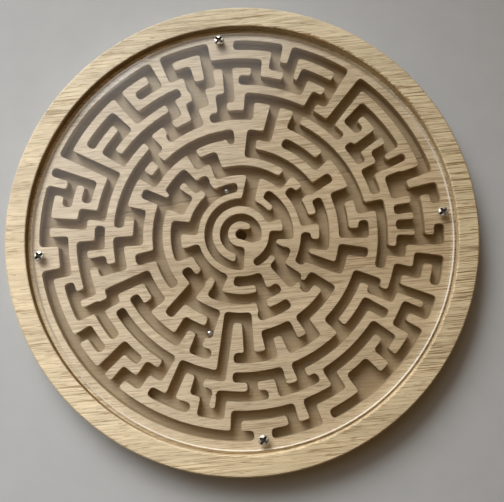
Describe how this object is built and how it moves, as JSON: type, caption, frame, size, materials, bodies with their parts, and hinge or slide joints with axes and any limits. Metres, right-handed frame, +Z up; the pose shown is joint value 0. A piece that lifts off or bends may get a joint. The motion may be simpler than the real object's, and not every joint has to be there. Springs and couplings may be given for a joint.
{
  "type": "dexterity puzzle",
  "caption": "Round hand-held ball maze: milled wooden board with a raised rim, clear screwed-down cover and loose steel balls rolling in concentric grooves towards a centre pocket.",
  "frame": {"origin": "centre of the underside of the board", "axes": "+Z up out of the cover, +X through the right screw, +Y through the top screw"},
  "size_m": [0.28, 0.28, 0.019],
  "materials": {
    "wood_upper": "sanded",
    "wood_lower": "sanded",
    "acrylic": "polished clear",
    "screw": "zinc plated",
    "ball": "polished"
  },
  "bodies": {
    "board": {"upper_stave": "wood_upper", "lower_stave": "wood_lower", "cover": "acrylic", "screw_right": "screw", "screw_top": "screw", "screw_left": "screw", "screw_bottom": "screw"},
    "inner_ball": {"ball_inner": "ball"},
    "outer_ball": {"ball_outer": "ball"}
  },
  "joints": [
    {"name": "inner_ball_roll", "type": "hinge", "parent": "board", "child": "inner_ball", "pos_m": [0, 0, 0.0082], "axis": [0, 0, 1], "range_deg": [-8, 66]},
    {"name": "outer_ball_roll", "type": "hinge", "parent": "board", "child": "outer_ball", "pos_m": [0, 0, 0.0082], "axis": [0, 0, 1], "range_deg": [-13.5, 0]}
  ]
}
